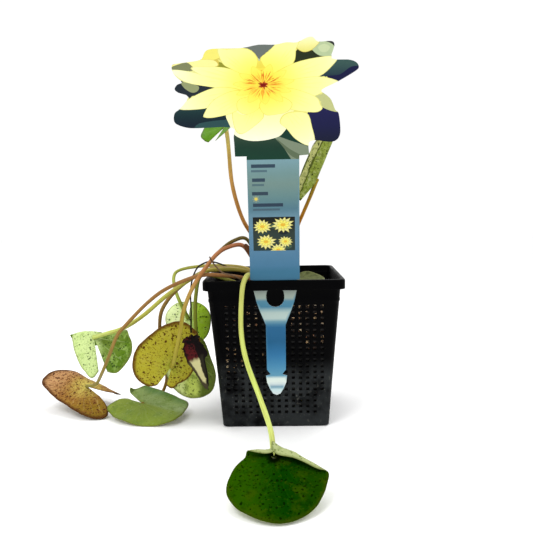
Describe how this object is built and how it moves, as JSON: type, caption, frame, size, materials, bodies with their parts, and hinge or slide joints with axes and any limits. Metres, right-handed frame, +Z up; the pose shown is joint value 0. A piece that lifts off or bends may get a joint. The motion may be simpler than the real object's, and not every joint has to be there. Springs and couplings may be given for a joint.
{
  "type": "potted water lily plant",
  "caption": "Young pond plant in a square mesh basket of gravel: speckled round leaves on long trailing stalks, a rhizome crown and a die-cut printed stake label.",
  "frame": {"origin": "centre of the basket's underside, on the surface it stands on", "axes": "+Z up; -Y towards the front, the side of the basket that carries the label; +X to the right seen from the front"},
  "size_m": [0.2777, 0.2513, 0.2987],
  "materials": {
    "basket_plastic": "moulded black polypropylene, slightly glossy, dusty",
    "gravel_soil": "wet brown soil with cream, orange and pink gravel",
    "printed_label": "printed plastic card with a gloss laminate",
    "rhizome": "rough dark brown bark with pale leaf scars",
    "leaf_green": "waxy green leaf with dark speckles and fine veins",
    "leaf_pale": "pale green leaf underside, speckled",
    "leaf_olive": "yellow-olive ageing leaf with a brown rim",
    "leaf_underside_red": "brown-red leaf underside with dark spots",
    "leaf_dead": "withered black-brown leaf",
    "stalk_green": "smooth yellow-green petiole",
    "stalk_pink": "smooth pink-brown petiole",
    "stalk_olive": "smooth olive-brown petiole",
    "stalk_dead": "dried black-brown petiole"
  },
  "bodies": {
    "root": {"basket": "basket_plastic", "growing_medium": "gravel_soil", "plant_label": "printed_label", "rhizome_crown": "rhizome", "leaf_front": "leaf_green", "leaf_brown": "leaf_underside_red", "leaf_folded": "leaf_pale", "leaf_olive": "leaf_olive", "leaf_floor": "leaf_green", "leaf_side": "leaf_green", "leaf_back": "leaf_pale", "leaf_upright": "leaf_green", "leaf_furled": "leaf_pale", "leaf_inside": "leaf_green", "leaf_dead": "leaf_dead", "stalk_front": "stalk_green", "stalk_brown": "stalk_pink", "stalk_folded": "stalk_green", "stalk_olive": "stalk_pink", "stalk_floor": "stalk_olive", "stalk_side": "stalk_green", "stalk_dead": "stalk_dead", "stalk_back": "stalk_green", "stalk_upright": "stalk_olive", "stalk_furled": "stalk_olive", "stalk_inside": "stalk_olive", "stalk_bare": "stalk_olive", "stalk_broken": "stalk_olive", "stalk_dried": "stalk_dead"}
  },
  "joints": []
}
